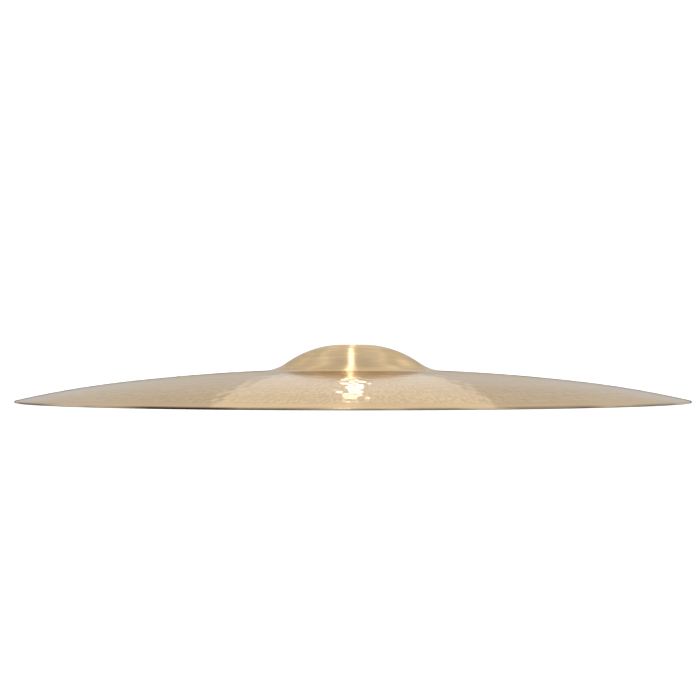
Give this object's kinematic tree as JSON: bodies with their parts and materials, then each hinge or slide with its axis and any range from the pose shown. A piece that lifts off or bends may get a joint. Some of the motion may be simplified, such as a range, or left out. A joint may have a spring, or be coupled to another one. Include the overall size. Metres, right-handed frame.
{
  "type": "crash cymbal",
  "caption": "Crash cymbal: thin round bronze plate, gently bowed, with a raised central bell, a mounting hole for a stand and a lathed, hammered surface.",
  "frame": {"origin": "on the axis, in the plane that the rim rests on when the cymbal lies bell up", "axes": "+Z is the cymbal's axis, pointing out of the top of the bell; +X and +Y lie in the plane of the rim"},
  "size_m": [0.4064, 0.4064, 0.0343],
  "materials": {
    "bronze": "lathed satin bell bronze with hammer marks"
  },
  "bodies": {
    "root": {"cymbal": "bronze"}
  },
  "joints": []
}
